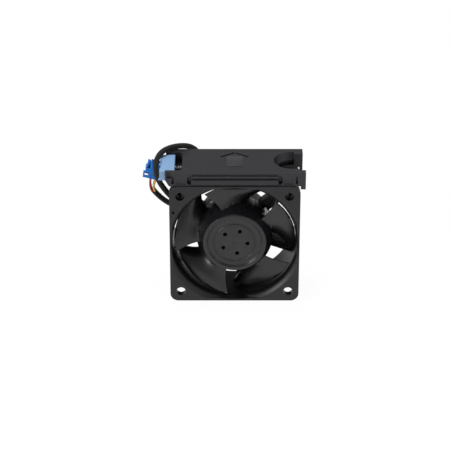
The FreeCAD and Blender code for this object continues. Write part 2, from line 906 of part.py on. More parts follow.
def plug_housing():
    """The plug's moulded body: four ways, keying rib, guard and ears for the lever's pin."""
    body = block(plug_x, plug_x + plug_w, plug_y, plug_y + plug_l, plug_z, plug_top)
    edges = [e for e in body.Edges if abs(e.tangentAt(e.FirstParameter).z) > 0.9]
    body = body.makeFillet(0.5, edges)
    half = way_w / 2
    for x, y in ways():
        body = body.cut(block(x - half, x + half, y - half, y + half, plug_z - 1, plug_top + 1))
    outer = lever_x - 0.7
    added = []
    for side in (-1, 1):
        y = plug_mid_y + side * (lever_w / 2 + 0.15)
        y0 = min(y, y + side * ear_t)
        added.append(block(outer, plug_x + 0.2, y0, y0 + ear_t, lever_z - 1.0, lever_z + 1.0))
        added.append(block(outer, plug_x + 0.2, y0, y0 + ear_t, plug_z, plug_z + 1.1))
    span = lever_w / 2 + 0.15 + ear_t
    added.append(block(outer - 0.5, outer + 0.1, plug_mid_y - span, plug_mid_y + span, plug_z, plug_z + 1.1))
    rib_y = plug_y + plug_l
    added.append(block(plug_mid_x - 0.5, plug_mid_x + 0.5, rib_y - 0.1, rib_y + 0.5, plug_z + 2.5, plug_top))
    pin = Part.makeCylinder(lever_pin_r, lever_w + 0.8, V(lever_x, plug_mid_y - lever_w / 2 - 0.4, lever_z), V(0, 1, 0))
    return tilted(joined(body, added + [pin]))


def plug_lever():
    """The plug's latching lever, which rocks on its pin."""
    left = lever_x - lever_t / 2
    right = left + lever_t
    y0 = plug_mid_y - lever_w / 2
    outline = [
        (left, plug_z + 1.7),
        (right, plug_z + 1.7),
        (right, plug_top - 1.3),
        (plug_x - 0.15, plug_top - 1.0),
        (plug_x - 0.15, plug_top - 0.1),
        (left + 0.3, plug_top + 0.2),
        (left, plug_top - 0.2),
    ]
    body = prism(outline, "y", y0, lever_w)
    boss = Part.makeCylinder(0.75, lever_w, V(lever_x, y0, lever_z), V(0, 1, 0))
    body = joined(body, [boss])
    bore = Part.makeCylinder(lever_pin_r + lever_fit, lever_w + 2, V(lever_x, y0 - 1, lever_z), V(0, 1, 0))
    return tilted(body.cut(bore))


def terminals():
    """The four crimped terminals in the plug."""
    found = []
    half = way_w / 2 - 0.05
    for x, y in ways():
        body = block(x - half, x + half, y - half, y + half, plug_z + crimp_z, plug_top - 1.0)
        slot = block(x - 0.45, x + 0.45, y - 0.45, y + 0.45, plug_z + 4.2, plug_top)
        found.append(tilted(body.cut(slot)))
    return Part.makeCompound(found)


def main():
    """Builds each node and writes it to its own file."""
    os.makedirs("parts", exist_ok=True)
    nodes = {
        "fan_frame": fan_frame(),
        "motor_base": motor_base(),
        "stator_vanes": stator_vanes(),
        "impeller_hub": impeller_hub(),
        "impeller_blades": impeller_blades(),
        "rotor_yoke": yoke(),
        "ring_magnet": magnet(),
        "shaft": shaft(),
        "shaft_clip": shaft_clip(),
        "preload_ring": preload_ring(),
        "bearing_inner_races": bearing_races(inner_r, shaft_r + fit / 2),
        "bearing_outer_races": bearing_races(tube_bore, outer_r),
        "bearing_balls": bearing_balls(),
        "ball_cages": ball_cages(),
        "bearing_tube": bearing_tube(),
        "stator_core": stator_core(),
        "front_liner": stator_liner(core_d0 - liner_t, core_d0),
        "rear_liner": stator_liner(core_d1, core_d1 + liner_t),
        "coils": coils(),
        "circuit_board": circuit_board(),
        "board_parts": board_parts(),
        "hall_sensor": hall_sensor(),
        "carrier": carrier(),
        "release_latch": release_latch(),
        "latch_spring": latch_spring(),
        "lead_gland": gland(),
        "motor_wires": inner_wires(),
        "lead_sleeve": tube(sleeve_way, sleeve_r),
        "wire_black": plug_wire(0),
        "wire_red": plug_wire(1),
        "wire_yellow": plug_wire(2),
        "wire_blue": plug_wire(3),
        "plug_housing": plug_housing(),
        "plug_lever": plug_lever(),
        "plug_terminals": terminals(),
    }
    for name, shape in nodes.items():
        if not shape.isValid():
            print("not valid:", name)
        solids = shape.Solids
        if min(s.Volume for s in solids) <= 0:
            print("bad volume:", name)
        box = shape.BoundBox
        reach = (box.XMin, box.XMax, box.YMin, box.YMax, box.ZMin, box.ZMax)
        print(name, len(solids), "solids", [round(v, 2) for v in reach])
        shape.exportStep("parts/" + name + ".step")


main()
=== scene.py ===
"""Looks for the server fan module: camera, studio, lead, and every visible piece with its finish."""

import logging
import math
from collections.abc import Callable, Iterable
from dataclasses import dataclass, field
from enum import Enum

import bpy
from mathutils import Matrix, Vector


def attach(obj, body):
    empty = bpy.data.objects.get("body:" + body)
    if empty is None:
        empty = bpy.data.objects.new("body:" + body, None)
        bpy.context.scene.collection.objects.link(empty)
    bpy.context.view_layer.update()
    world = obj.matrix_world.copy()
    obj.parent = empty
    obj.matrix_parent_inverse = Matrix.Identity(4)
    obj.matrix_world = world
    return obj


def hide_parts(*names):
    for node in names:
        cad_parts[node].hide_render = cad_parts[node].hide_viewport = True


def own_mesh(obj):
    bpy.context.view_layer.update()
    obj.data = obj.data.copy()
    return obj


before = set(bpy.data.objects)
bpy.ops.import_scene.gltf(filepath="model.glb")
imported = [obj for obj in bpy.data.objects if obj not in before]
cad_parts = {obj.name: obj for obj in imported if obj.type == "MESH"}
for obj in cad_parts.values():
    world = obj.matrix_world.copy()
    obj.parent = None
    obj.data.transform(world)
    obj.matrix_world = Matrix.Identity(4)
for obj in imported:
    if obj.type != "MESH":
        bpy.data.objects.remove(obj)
LOG = logging.getLogger("fan_module")
MM = 0.001
SHAFT_HEIGHT_MM = 30.0
WHITE = (1.0, 1.0, 1.0, 1.0)
# Nearly all of a noise texture's values lie between these two.
NOISE_LOW = 0.3
NOISE_HIGH = 0.7
Point = tuple[float, float, float]
Colour = tuple[float, float, float, float]
Piece = bpy.types.Object
Tree = bpy.types.NodeTree
Node = bpy.types.Node
Socket = bpy.types.NodeSocket


class Grain(Enum):
    """How strongly the tool's texture stands out on a surface."""

    POLISHED = 0.025
    SATIN = 0.175
    SPARK = 0.5


def linear(code: str) -> Colour:
    """Turns an sRGB hex colour to linear light.

    Args:
        code: Six hex digits, as on a colour chart.

    Returns:
        Linear red, green, blue and an alpha of one.
    """
    parts = [int(code[k : k + 2], 16) / 255 for k in (0, 2, 4)]
    low = [c / 12.92 if c <= 0.04045 else ((c + 0.055) / 1.055) ** 2.4 for c in parts]
    return (low[0], low[1], low[2], 1.0)


def add_node(tree: Tree, kind: str, settings: dict | None = None, links: dict | None = None) -> Node:
    """Adds one shader node.

    Args:
        tree: The material's node tree.
        kind: The node's type name, without its ShaderNode prefix.
        settings: Properties, or input defaults by name or number.
        links: Input name or number to the output socket that feeds it.

    Returns:
        The new node.
    """
    made = tree.nodes.new("ShaderNode" + kind)
    for name, value in (settings or {}).items():
        if isinstance(name, str) and hasattr(made, name):
            setattr(made, name, value)
        else:
            made.inputs[name].default_value = value
    for name, source in (links or {}).items():
        tree.links.new(source, made.inputs[name])
    return made


def empty_material(name: str) -> bpy.types.Material:
    """Adds a material without any nodes.

    Args:
        name: The material's name.

    Returns:
        The material, ready for its nodes.
    """
    material = bpy.data.materials.new(name)
    material.use_nodes = True
    material.node_tree.nodes.clear()
    return material


def shaded(material: bpy.types.Material) -> Node:
    """The principled shader of a material."""
    return next(n for n in material.node_tree.nodes if n.type == "BSDF_PRINCIPLED")


@dataclass(frozen=True)
class Finish:
    """A real material: what it is, its colours and how its surface was made."""

    name: str
    # The surface drifts between these two colours, in soft clouds.
    colour: str
    shade: str
    roughness: float
    metal: float = 0.0
    # A tool's real grain is finer than this, and wouldn't show.
    grain_mm: float = 0.22
    bump_mm: float = 0.01
    grain: Grain = Grain.SPARK
    specular: float = 0.5
    coat: float = 0.0
    sheen: float = 0.0
    # How far the edges are rubbed towards their lighter colour.
    wear: float = 0.0
    rubbed: str = "6a6a6e"
    # The radius round the shaft inside which the duct is painted darker, as the shade inside it, and
    # made less shiny, or zero where there is none.
    bore_mm: float = 0.0
    bore_shade: str = "0d0d0f"
    bore_specular: float = 0.12
    bore_edge_mm: float = 0.2
    cloud_mm: float = 9.0
    # An edge is worn within this reach, from where the rounded normal starts to turn away.
    edge_mm: float = 0.35
    edge_starts: float = 0.97
    edge_ends: float = 0.75
    roughness_swing: float = 0.06

    def inside_bore(self, tree: Tree, place: Socket) -> Socket:
        """Tells where the duct round the shaft is, which is painted darker as shade.

        Args:
            tree: The material's node tree.
            place: The object's coordinates.

        Returns:
            One inside the bore, and none outside it.
        """
        shaft = (0.0, 0.0, SHAFT_HEIGHT_MM * MM)
        flat = add_node(tree, "VectorMath", {"operation": "MULTIPLY", 1: (1.0, 0.0, 1.0)}, {0: place})
        moved = add_node(tree, "VectorMath", {"operation": "SUBTRACT", 1: shaft}, {0: flat.outputs[0]})
        out = add_node(tree, "VectorMath", {"operation": "LENGTH"}, {0: moved.outputs[0]})
        edge = {
            "From Min": (self.bore_mm + self.bore_edge_mm) * MM,
            "From Max": (self.bore_mm - self.bore_edge_mm) * MM,
        }
        return add_node(tree, "MapRange", edge, {"Value": out.outputs["Value"]}).outputs[0]

    def paint_bore_shade(self, tree: Tree, shader: Node, place: Socket) -> None:
        """Paints the bore darker than the rest, as the shade inside the duct, and makes it less shiny.

        Args:
            tree: The material's node tree.
            shader: The material's principled shader.
            place: The object's coordinates.
        """
        colour = shader.inputs["Base Color"]
        inside = self.inside_bore(tree, place)
        # Painted shade: inside the duct the colour is mixed towards bore_shade.
        shades = {"data_type": "RGBA", 7: linear(self.bore_shade)}
        painted_dark = add_node(tree, "Mix", shades, {0: inside, 6: colour.links[0].from_socket})
        tree.links.new(painted_dark.outputs[2], colour)
        shine = {"To Min": self.specular, "To Max": self.bore_specular}
        dulled = add_node(tree, "MapRange", shine, {"Value": inside})
        tree.links.new(dulled.outputs[0], shader.inputs["Specular IOR Level"])

    def colours(self, tree: Tree, place: Socket) -> Socket:
        """Mixes the two shades in soft clouds, and rubs the edges lighter.

        Args:
            tree: The material's node tree.
            place: The object's coordinates.

        Returns:
            The surface's colour.
        """
        spread = {"Scale": 1 / (self.cloud_mm * MM), "Detail": 3.0}
        cloud = add_node(tree, "TexNoise", spread, {"Vector": place})
        shades = {"data_type": "RGBA", 6: linear(self.colour), 7: linear(self.shade)}
        mixed = add_node(tree, "Mix", shades, {0: cloud.outputs["Fac"]})
        rounded = add_node(tree, "Bevel", {"samples": 4, "Radius": self.edge_mm * MM})
        true = add_node(tree, "NewGeometry")
        sides = {0: rounded.outputs[0], 1: true.outputs["Normal"]}
        along = add_node(tree, "VectorMath", {"operation": "DOT_PRODUCT"}, sides)
        edge = {"From Min": self.edge_starts, "From Max": self.edge_ends, "To Max": self.wear}
        rub = add_node(tree, "MapRange", edge, {"Value": along.outputs["Value"]})
        worn = {"data_type": "RGBA", 7: linear(self.rubbed)}
        return add_node(tree, "Mix", worn, {0: rub.outputs[0], 6: mixed.outputs[2]}).outputs[2]

    def make(self) -> bpy.types.Material:
        """Builds the material once and returns it afterwards.

        Returns:
            The Blender material.
        """
        known = bpy.data.materials.get(self.name)
        if known:
            return known
        material = empty_material(self.name)
        tree = material.node_tree
        place = add_node(tree, "TexCoord").outputs["Object"]
        texture = {"Scale": 1 / (self.grain_mm * MM), "Detail": 2.0}
        grain = add_node(tree, "TexNoise", texture, {"Vector": place}).outputs["Fac"]
        swing = {
            "From Min": NOISE_LOW,
            "From Max": NOISE_HIGH,
            "To Min": self.roughness - self.roughness_swing,
            "To Max": self.roughness + self.roughness_swing,
        }
        rough = add_node(tree, "MapRange", swing, {"Value": grain})
        relief = {"Strength": self.grain.value, "Distance": self.bump_mm * MM}
        bump = add_node(tree, "Bump", relief, {"Height": grain})
        levels = {
            "Metallic": self.metal,
            "Coat Weight": self.coat,
            "Sheen Weight": self.sheen,
            "Specular IOR Level": self.specular,
        }
        surface = {
            "Base Color": self.colours(tree, place),
            "Roughness": rough.outputs[0],
            "Normal": bump.outputs[0],
        }
        shader = add_node(tree, "BsdfPrincipled", levels, surface)
        # Paints shade into the duct round the shaft, where the finish has one.
        if self.bore_mm:
            self.paint_bore_shade(tree, shader, place)
        add_node(tree, "OutputMaterial", None, {"Surface": shader.outputs[0]})
        return material


def insulation(name: str, colour: str, shade: str) -> Finish:
    """A PVC wire insulation in one colour: smooth, a little waxy."""
    return Finish(f"pvc_insulation_{name}", colour, shade, 0.38, grain=Grain.SATIN)


# Glass-filled PBT, moulded in a spark-eroded tool: a soft dark grey under light.
FRAME_PBT = Finish("frame_glass_filled_pbt", "18181b", "131316", 0.42, specular=0.4, wear=0.22)
# The same moulding, with its duct painted dark and even, as the shade inside it, and less shiny.
MOUTH_PBT = Finish(
    "frame_pbt_mouth_painted_shade", "18181b", "131316", 0.42, specular=0.4, wear=0.22, bore_mm=29.5
)
# The same plastic from a finer tool, so the blades have a smoother, longer gloss.
IMPELLER_PBT = Finish("impeller_pbt", "18181b", "131316", 0.3, grain=Grain.SATIN, wear=0.15)
# PC-ABS with a fine texture: even, and a little lighter than the fan.
CARRIER_ABS = Finish(
    "carrier_pc_abs", "232327", "1e1e22", 0.42, grain_mm=0.3, bump_mm=0.015, specular=0.4, wear=0.25
)
# The same moulding from a finer polish of the tool: smoother, and painted lighter, as the sheen that
# the smooth top catches.
PANEL_ABS = Finish("carrier_pc_abs_smooth_painted_sheen", "2f2f33", "29292d", 0.3, grain=Grain.SATIN, wear=0.3)
# Light blue ABS of a touch point, satin from its tool.
LATCH_ABS = Finish("touch_point_blue_abs", "7b9bbe", "7495b9", 0.42, grain=Grain.SATIN)
# Nylon of a wire-to-board plug: saturated blue, with a soft gloss.
PLUG_NYLON = Finish("plug_blue_nylon", "0c62b0", "0a59a2", 0.42, grain=Grain.SATIN, specular=0.3)
# Hard drawn wire, ground shaft and races: smooth and bright, with soft reflections.
SPRING_STEEL = Finish("spring_steel", "8f9092", "858789", 0.32, metal=1.0, grain=Grain.POLISHED)
# Zinc-plated deep-drawn steel: pale and softly bright.
YOKE_STEEL = Finish("zinc_plated_steel", "a6a8aa", "9b9ea1", 0.38, metal=1.0, grain=Grain.SATIN)
# Electrical steel, punched and stacked: a duller, darker metal.
CORE_STEEL = Finish("laminated_electrical_steel", "6d7074", "5f6266", 0.5, metal=1.0, grain=Grain.SATIN)
# Bonded ferrite: matt, nearly black, slightly brown.
FERRITE = Finish("bonded_ferrite", "2e2a28", "282523", 0.7)
# Turned brass: warm and bright.
BRASS = Finish("turned_brass", "c9a24e", "bd9745", 0.3, metal=1.0, grain=Grain.SATIN)
# Tin-plated phosphor bronze of the crimped contacts: pale, with a faint warmth.
TIN = Finish("tin_plated_contact", "c4c2bc", "b7b5ae", 0.3, metal=1.0, grain=Grain.SATIN)
# Polyurethane-enamelled copper wire: red-brown and glossy, and uneven where the turns lie.
COPPER = Finish("enamelled_copper", "b5652d", "a35624", 0.3, metal=0.9, grain_mm=0.25, bump_mm=0.05)
# Natural nylon, moulded: a warm off-white.
NYLON = Finish("natural_nylon", "d9d5c8", "cfcabb", 0.45, grain=Grain.SATIN)
# FR-4 board under green solder resist: dark green with a clear gloss.
SOLDER_RESIST = Finish("green_solder_resist", "1d5a34", "184e2c", 0.35, grain_mm=0.6, coat=0.3)
# Epoxy packages of the small parts: matt black.
EPOXY = Finish("epoxy_package", "232325", "1c1c1e", 0.5)
# EPDM rubber: matt, soft black.
RUBBER = Finish("epdm_rubber", "222222", "1c1c1c", 0.65)
# Woven polyester: its threads take their own colours and relief from the sleeve's UV map, with painted
# shade in the dips between them.
SLEEVE_POLYESTER = Finish("woven_polyester_sleeve", "2d2b29", "232120", 0.75, specular=0.2, sheen=0.05)
# PVC over thin stranded wire: smooth and a little waxy, in the four colours of a fan's lead.
BLACK_PVC = insulation("black", "1f1f20", "19191a")
RED_PVC = insulation("red", "96282a", "8a2224")
YELLOW_PVC = insulation("yellow", "d8ad4e", "cfa244")
BLUE_PVC = insulation("blue", "2f66b0", "2a5ca4")


def deselect() -> None:
    """Leaves nothing selected, so that an operator acts on its own piece only."""
    if bpy.context.object and bpy.context.object.mode != "OBJECT":
        bpy.ops.object.mode_set(mode="OBJECT")
    bpy.ops.object.select_all(action="DESELECT")


def activate(piece: Piece) -> None:
    """Makes one object the selected and active one.

    Args:
        piece: The object to work on.
    """
    deselect()
    piece.select_set(True)
    bpy.context.view_layer.objects.active = piece


def apply_modifiers(piece: Piece) -> None:
    """Applies each modifier of a piece in order.

    Args:
        piece: The piece that has them.
    """
    activate(piece)
    for name in [m.name for m in piece.modifiers]:
        bpy.ops.object.modifier_apply(modifier=name)


def smooth(piece: Piece, degrees: float = 32.0) -> None:
    """Shades a piece smooth, with its edges kept sharp past an angle."""
    activate(piece)
    bpy.ops.object.shade_smooth_by_angle(angle=math.radians(degrees))


def weigh_normals(piece: Piece, weight: int = 80) -> None:
    """Lets the broad flat faces set the shading, so that edge radii don't dull them.

    Args:
        piece: The piece to shade.
        weight: How much a face's area counts, from 1 to 100.
    """
    weigher = piece.modifiers.new("flat_faces_first", "WEIGHTED_NORMAL")
    weigher.keep_sharp = True
    weigher.weight = weight
    apply_modifiers(piece)


def copy_of(node: str, name: str, curved: bool = False) -> Piece:
    """Copies a CAD node's mesh with its loose triangles merged into whole faces.

    Args:
        node: The CAD node.
        name: The new piece's name.
        curved: Whether the piece is curved all over, so that its facets stay as they are.

    Returns:
        The new piece, placed as the node is.
    """
    same_place = 0.002 * MM
    same_plane = math.radians(0.6)
    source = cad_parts[node]
    piece = bpy.data.objects.new(name, source.data.copy())
    bpy.context.scene.collection.objects.link(piece)
    activate(piece)
    bpy.ops.object.mode_set(mode="EDIT")
    bpy.ops.mesh.select_all(action="SELECT")
    bpy.ops.mesh.remove_doubles(threshold=same_place)
    if not curved:
        bpy.ops.mesh.dissolve_limited(angle_limit=same_plane)
    bpy.ops.object.mode_set(mode="OBJECT")
    return piece


def bevel(piece: Piece, width_mm: float, segments: int = 2, degrees: float = 35.0) -> None:
    """Rounds the sharp edges of a piece and applies it.

    Args:
        piece: The piece to round.
        width_mm: The rounding's width.
        segments: How many faces it takes.
        degrees: The angle past which an edge is sharp.
    """
    rounder = piece.modifiers.new("edge_radius", "BEVEL")
    rounder.width = width_mm * MM
    rounder.segments = segments
    rounder.limit_method = "ANGLE"
    rounder.angle_limit = math.radians(degrees)
    rounder.use_clamp_overlap = True
    apply_modifiers(piece)


def settle(piece: Piece, finish: Finish, body: str, nodes: Iterable[str]) -> Piece:
    """Gives a finished piece its material and body, and hides the CAD nodes that it stands for.

    Args:
        piece: The finished piece.
        finish: Its material.
        body: The body that it rides on.
        nodes: The CAD nodes that it replaces.

    Returns:
        The same piece.
    """
    piece.data.materials.clear()
    piece.data.materials.append(finish.make())
    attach(piece, body)
    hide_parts(*nodes)
    LOG.info("%s: %d faces", piece.name, len(piece.data.polygons))
    return piece


@dataclass(frozen=True)
class Recess:
    """A box-shaped cut: its middle and size in millimetres, and its turn in degrees."""

    middle_mm: Point
    size_mm: Point
    turn: float = 0.0

    def on(self, side: int) -> "Recess":
        """The same recess on the right (1), or mirrored on the left (-1)."""
        across, deep, high = self.middle_mm
        return Recess((side * across, deep, high), self.size_mm, side * self.turn)

    def cut(self, piece: Piece) -> None:
        """Cuts the recess into a piece.

        Args:
            piece: The piece to cut.
        """
        deselect()
        middle = [v * MM for v in self.middle_mm]
        turned = (0.0, 0.0, math.radians(self.turn))
        bpy.ops.mesh.primitive_cube_add(size=1.0, location=middle, rotation=turned)
        box = bpy.context.object
        box.scale = [v * MM for v in self.size_mm]
        cutter = piece.modifiers.new("recess", "BOOLEAN")
        cutter.operation = "DIFFERENCE"
        cutter.solver = "EXACT"
        cutter.object = box
        apply_modifiers(piece)
        bpy.data.objects.remove(box)


@dataclass(frozen=True)
class Softbox:
    """A square lamp: its name, its place and side in metres, and its power in watts."""

    name: str
    place: Point
    side: float
    power: float


@dataclass
class Studio:
    """Camera, lamps, floor and world: a plain white product set."""

    elevation: float = 28.66
    distance: float = 0.85
    lens: float = 147.2
    sensor: float = 36.0
    nearest: float = 0.01
    target: Point = (-0.00445, -0.0084, 0.03806)
    lit_point: Point = (0.0, 0.0, 0.035)
    floor_side: float = 6.0
    floor_drop: float = 0.2 * MM
    floor_glow: float = 0.95
    paper: Colour = (0.9, 0.9, 0.9, 1.0)
    world_strength: float = 0.3
    softboxes: tuple[Softbox, ...] = (
        Softbox("key_softbox", (-1.25, -1.0, 0.62), 0.7, 15.0),
        Softbox("fill_softbox", (1.1, -0.9, 0.5), 0.9, 2.0),
        Softbox("top_softbox", (-0.15, 0.1, 1.5), 0.8, 20.0),
    )

    def camera(self) -> None:
        """Adds the camera in front of the inlet, looking down at the module."""
        rise = math.radians(self.elevation)
        aim = Vector(self.target)
        place = aim + Vector((0.0, -math.cos(rise), math.sin(rise))) * self.distance
        deselect()
        bpy.ops.object.camera_add(location=place, rotation=(math.pi / 2 - rise, 0.0, 0.0))
        camera = bpy.context.object
        camera.name = "studio_camera"
        camera.data.lens = self.lens
        camera.data.sensor_width = self.sensor
        camera.data.clip_start = self.nearest
        bpy.context.scene.camera = camera

    def lamp(self, softbox: Softbox) -> None:
        """Adds one softbox that faces the module.

        Args:
            softbox: The lamp to add.
        """
        deselect()
        bpy.ops.object.light_add(type="AREA", location=softbox.place)
        lamp = bpy.context.object
        lamp.name = softbox.name
        lamp.data.shape = "SQUARE"
        lamp.data.size = softbox.side
        lamp.data.energy = softbox.power
        aim = Vector(self.lit_point) - Vector(softbox.place)
        lamp.rotation_euler = aim.to_track_quat("-Z", "Y").to_euler()

    def floor(self) -> None:
        """Adds the pale floor, white to the camera but still taking a shadow."""
        deselect()
        bpy.ops.mesh.primitive_plane_add(size=self.floor_side, location=(0.0, 0.0, -self.floor_drop))
        floor = bpy.context.object
        floor.name = "studio_floor"
        material = empty_material("white_paper_sweep")
        tree = material.node_tree
        path = add_node(tree, "LightPath")
        rays = {0: path.outputs["Is Camera Ray"], 1: path.outputs["Is Glossy Ray"]}
        seen = add_node(tree, "Math", {"operation": "MAXIMUM"}, rays)
        glow = {"operation": "MULTIPLY", 1: self.floor_glow}
        share = add_node(tree, "Math", glow, {0: seen.outputs[0]})
        paper = add_node(tree, "BsdfDiffuse", {"Color": self.paper})
        white = add_node(tree, "Emission", {"Color": WHITE, "Strength": 1.0})
        looks = {0: share.outputs[0], 1: paper.outputs[0], 2: white.outputs[0]}
        both = add_node(tree, "MixShader", None, looks)
        add_node(tree, "OutputMaterial", None, {"Surface": both.outputs[0]})
        floor.data.materials.append(material)

    def world(self) -> None:
        """Lights the set evenly and shows white behind it."""
        world = bpy.data.worlds.new("studio_world")
        bpy.context.scene.world = world
        world.use_nodes = True
        tree = world.node_tree
        tree.nodes.clear()
        path = add_node(tree, "LightPath")
        rays = {0: path.outputs["Is Camera Ray"], 1: path.outputs["Is Transmission Ray"]}
        seen = add_node(tree, "Math", {"operation": "MAXIMUM"}, rays)
        soft = add_node(tree, "Background", {"Color": WHITE, "Strength": self.world_strength})
        plain = add_node(tree, "Background", {"Color": WHITE, "Strength": 1.0})
        looks = {0: seen.outputs[0], 1: soft.outputs[0], 2: plain.outputs[0]}
        both = add_node(tree, "MixShader", None, looks)
        add_node(tree, "OutputWorld", None, {"Surface": both.outputs[0]})

    def build(self) -> None:
        """Sets the whole stage."""
        bpy.context.scene.view_settings.view_transform = "Standard"
        self.camera()
        self.floor()
        self.world()
        for softbox in self.softboxes:
            self.lamp(softbox)


@dataclass
class Lead:
    """The sleeved lead, its four wires and their plug."""

    way: tuple[Point, ...] = (
        (-0.0270, 0.0040, 0.0475),
        (-0.0270, -0.0036, 0.0480),
        (-0.0316, -0.0046, 0.0535),
        (-0.0358, -0.0026, 0.0595),
        (-0.0366, 0.0022, 0.0665),
        (-0.0318, 0.0098, 0.0690),
        (-0.0206, 0.0156, 0.0676),
        (-0.0158, 0.0168, 0.0616),
        (-0.0188, 0.0156, 0.0530),
        (-0.0162, 0.0154, 0.0426),
        (-0.0202, 0.0156, 0.0338),
        (-0.0326, 0.0150, 0.0368),
        (-0.0378, 0.0110, 0.0460),
    )
    route_order: int = 3
    steps_along: int = 12
    steps_round: int = 5
    radius: float = 1.3 * MM
    thread_mm: float = 0.55
    thread_relief: float = 0.12 * MM
    thread_strength: float = 0.9
    thread_colour: str = "2a2927"
    # The dips between threads are painted this dark, as the shade between them.
    valley_shade_colour: str = "0e0e0d"
    wire_radius: float = 0.5 * MM
    wire_offset: float = 0.62 * MM
    wire_start: float = 2.0 * MM
    wire_end: float = 1.6 * MM
    plug_foot: Point = (-0.0380, 0.0117, 0.0528)
    plug_lean: float = math.radians(14.0)
    way_pitch: tuple[float, float] = (2.4 * MM, 2.5 * MM)
    length: float = 0.0
    places: list[Point] = field(default_factory=list)

    def curve(self, name: str, points: Iterable[Point], radius: float) -> Piece:
        """Adds a round NURBS curve through a route.

        Args:
            name: The piece's name.
            points: The route's points.
            radius: The tube's radius, or zero for the bare line.

        Returns:
            The curve.
        """
        data = bpy.data.curves.new(name, "CURVE")
        data.dimensions = "3D"
        data.resolution_u = self.steps_along
        data.bevel_depth = radius
        data.bevel_resolution = self.steps_round
        data.use_fill_caps = True
        spline = data.splines.new("NURBS")
        points = list(points)
        spline.points.add(len(points) - 1)
        for knot, place in zip(spline.points, points):
            knot.co = (*place, 1.0)
        spline.order_u = self.route_order
        spline.use_endpoint_u = True
        piece = bpy.data.objects.new(name, data)
        bpy.context.scene.collection.objects.link(piece)
        return piece

    def line(self, points: Iterable[Point]) -> list[Point]:
        """Follows the centreline that a NURBS route really takes.

        Args:
            points: The route's points.

        Returns:
            The centreline's places, from the first end to the last.
        """
        bare = self.curve("bare_line", points, 0.0)
        settled = bare.evaluated_get(bpy.context.evaluated_depsgraph_get())
        mesh = bpy.data.meshes.new_from_object(settled)
        places = [tuple(v.co) for v in mesh.vertices]
        bpy.data.objects.remove(bare)
        bpy.data.meshes.remove(mesh)
        return places

    def tube(self, name: str, points: Iterable[Point], radius: float) -> Piece:
        """Makes a smooth round tube along a route.

        Args:
            name: The tube's name.
            points: The route's points.
            radius: The tube's radius.

        Returns:
            The tube's mesh piece, with the curve's own UV map.
        """
        activate(self.curve(name, points, radius))
        bpy.ops.object.convert(target="MESH")
        bpy.ops.object.shade_smooth()
        return bpy.context.object

    def weave(self) -> None:
        """Gives the sleeve's material two sets of threads that cross at forty-five degrees, with
        painted shade in the dips between them.
        """
        material = SLEEVE_POLYESTER.make()
        tree = material.node_tree
        turns = round(2 * math.pi * self.radius / MM / self.thread_mm)
        rows = round(self.length / MM / self.thread_mm)
        flat = add_node(tree, "UVMap")
        heights = []
        for lean in (1, -1):
            split = add_node(tree, "SeparateXYZ", None, {0: flat.outputs[0]})
            lengthwise = {"operation": "MULTIPLY", 1: rows * math.pi}
            along = add_node(tree, "Math", lengthwise, {0: split.outputs[0]})
            crosswise = {"operation": "MULTIPLY", 1: lean * turns * math.pi}
            across = add_node(tree, "Math", crosswise, {0: split.outputs[1]})
            parts = {0: along.outputs[0], 1: across.outputs[0]}
            total = add_node(tree, "Math", {"operation": "ADD"}, parts)
            wave = add_node(tree, "Math", {"operation": "SINE"}, {0: total.outputs[0]})
            height = add_node(tree, "Math", {"operation": "ABSOLUTE"}, {0: wave.outputs[0]})
            heights.append(height.outputs[0])
        both = {0: heights[0], 1: heights[1]}
        thread = add_node(tree, "Math", {"operation": "MULTIPLY"}, both).outputs[0]
        relief = {"Strength": self.thread_strength, "Distance": self.thread_relief}
        bump = add_node(tree, "Bump", relief, {"Height": thread})
        # Painted shade: the colour darkens where the threads dip.
        shades = {"data_type": "RGBA", 6: linear(self.valley_shade_colour), 7: linear(self.thread_colour)}
        ramp = add_node(tree, "Mix", shades, {0: thread})
        shader = shaded(material)
        tree.links.new(bump.outputs[0], shader.inputs["Normal"])
        tree.links.new(ramp.outputs[2], shader.inputs["Base Color"])

    def sleeve(self) -> Piece:
        """Builds the woven sleeve, and notes its true line and length.

        Returns:
            The sleeve.
        """
        self.places = self.line(self.way)
        self.length = sum(math.dist(a, b) for a, b in zip(self.places, self.places[1:]))
        piece = self.tube("lead_sleeve_woven", self.way, self.radius)
        settle(piece, SLEEVE_POLYESTER, "housing", ["lead_sleeve"])
        self.weave()
        return piece

    def wires(self) -> list[Piece]:
        """Builds the four wires between the sleeve and the plug.

        Returns:
            The wires.
        """
        end = Vector(self.way[-1])
        along = (end - Vector(self.way[-2])).normalized()
        across = (Vector((1.0, 0.0, 0.0)) - along * along.x).normalized()
        beside = along.cross(across)
        upright = Vector((math.sin(self.plug_lean), 0.0, math.cos(self.plug_lean)))
        sideways = Vector((math.cos(self.plug_lean), 0.0, -math.sin(self.plug_lean)))
        made = []
        for name, finish, right, back in (
            ("black", BLACK_PVC, -1, 1),
            ("red", RED_PVC, -1, -1),
            ("yellow", YELLOW_PVC, 1, -1),
            ("blue", BLUE_PVC, 1, 1),
        ):
            start = end + (across * right + beside * back) * self.wire_offset
            foot = Vector(self.plug_foot) + sideways * right * self.way_pitch[0] / 2
            foot += Vector((0.0, back * self.way_pitch[1] / 2, 0.0))
            bent = start + along * self.wire_start
            route = (start, bent, foot - upright * self.wire_end, foot + upright * self.wire_end)
            wire = self.tube(f"wire_{name}_pvc", route, self.wire_radius)
            made.append(settle(wire, finish, "housing", [f"wire_{name}"]))
        return made

    def plug(self) -> list[Piece]:
        """Dresses the plug, its lever and its contacts.

        Returns:
            The plug's pieces.
        """
        made = []
        for node, finish, body, slot, radius_mm in (
            ("plug_housing", PLUG_NYLON, "housing", "plug_plastic", 0.12),
            ("plug_lever", PLUG_NYLON, "plug_latch", "plug_plastic", 0.1),
            ("plug_terminals", TIN, "housing", "brass", 0.05),
        ):
            piece = copy_of(node, f"{node}_finished")
            bevel(piece, radius_mm)
            smooth(piece)
            made.append(settle(piece, finish, body, [node]))
        return made

    def build(self) -> None:
        sleeve = self.sleeve()
        others = self.wires() + self.plug()


